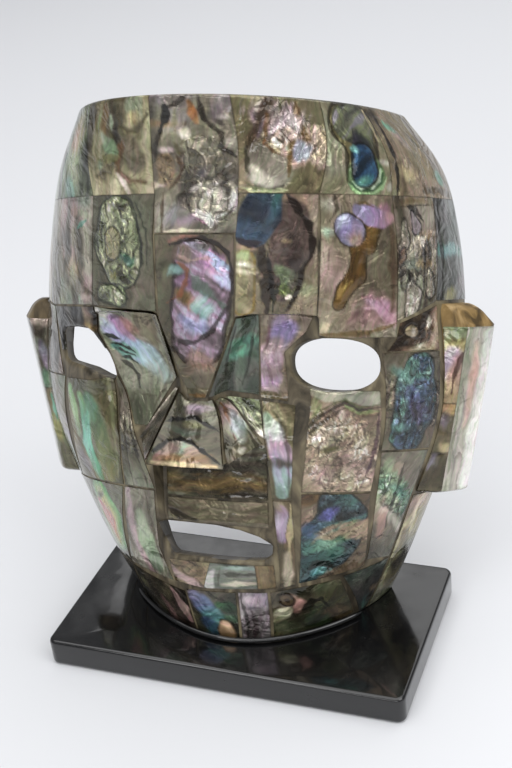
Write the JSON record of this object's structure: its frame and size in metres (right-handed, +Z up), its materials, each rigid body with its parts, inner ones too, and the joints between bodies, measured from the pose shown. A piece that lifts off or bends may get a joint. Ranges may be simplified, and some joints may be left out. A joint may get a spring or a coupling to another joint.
{
  "type": "shell mosaic mask",
  "caption": "Hollow face mask cast in resin and set with iridescent shell tiles, with open eyes and mouth, glued upright on a black slab.",
  "frame": {"origin": "middle of the slab's flat underside", "axes": "+Z up, the face looks along -Y, +X to the right as seen from in front"},
  "size_m": [0.1644, 0.1065, 0.1823],
  "materials": {
    "black_lacquer": "gloss",
    "cast_resin": "satin",
    "shell_olive": "gloss, iridescent shell",
    "shell_pearl": "gloss, iridescent shell",
    "shell_green": "gloss, iridescent shell",
    "shell_tan": "gloss, iridescent shell",
    "shell_violet": "gloss, iridescent shell",
    "shell_moss": "gloss, iridescent shell"
  },
  "bodies": {
    "root": {"base_slab": "black_lacquer", "chin_bead": "black_lacquer", "resin_face": "cast_resin", "top_tile_left_rear": "shell_green", "top_tile_left_side": "shell_tan", "top_tile_left_temple": "shell_violet", "top_tile_left": "shell_moss", "top_tile_middle": "shell_olive", "top_tile_right": "shell_pearl", "top_tile_right_temple": "shell_green", "top_tile_right_side": "shell_tan", "brow_tile_left_rear": "shell_violet", "brow_tile_left_side": "shell_moss", "brow_tile_left_temple": "shell_olive", "brow_tile_left": "shell_pearl", "brow_tile_right": "shell_green", "brow_tile_right_side": "shell_tan", "brow_tile_right_rear": "shell_violet", "brow_tile_right_temple": "shell_moss", "bridge_tile": "shell_olive", "bridge_side_right": "shell_pearl", "socket_tile_right": "shell_green", "socket_tile_left": "shell_tan", "eyelid_tile_left": "shell_violet", "temple_tile_left": "shell_moss", "temple_tile_right": "shell_olive", "cheek_tile_left_outer": "shell_pearl", "cheek_tile_left": "shell_green", "cheek_tile_left_inner": "shell_tan", "cheek_tile_right_outer": "shell_violet", "cheek_tile_right": "shell_moss", "cheek_tile_right_inner": "shell_olive", "nose_tile_front": "shell_pearl", "nose_tile_left": "shell_green", "nose_tile_right": "shell_tan", "nose_wing_right": "shell_violet", "lip_tile_upper": "shell_moss", "lip_tile_edge": "shell_olive", "lip_tile_lower_left": "shell_pearl", "lip_tile_lower_middle": "shell_green", "lip_tile_lower_right": "shell_tan", "jaw_tile_left_outer": "shell_violet", "jaw_tile_left": "shell_moss", "jaw_tile_left_rear": "shell_olive", "chin_tile_left_outer": "shell_pearl", "chin_tile_left": "shell_green", "chin_tile_middle": "shell_tan", "chin_tile_right": "shell_violet", "chin_tile_right_outer": "shell_moss", "jaw_tile_right_inner": "shell_olive", "jaw_tile_right": "shell_pearl", "jaw_tile_right_outer": "shell_green", "chin_tile_right_side": "shell_tan", "jaw_tile_right_rear": "shell_violet", "ear_tile_right_upper": "shell_moss", "ear_tile_right_lower": "shell_olive", "ear_tile_right_outer": "shell_pearl", "ear_tile_left_upper": "shell_green", "ear_tile_left_lower": "shell_tan", "ear_tile_left_outer": "shell_violet"}
  },
  "joints": []
}
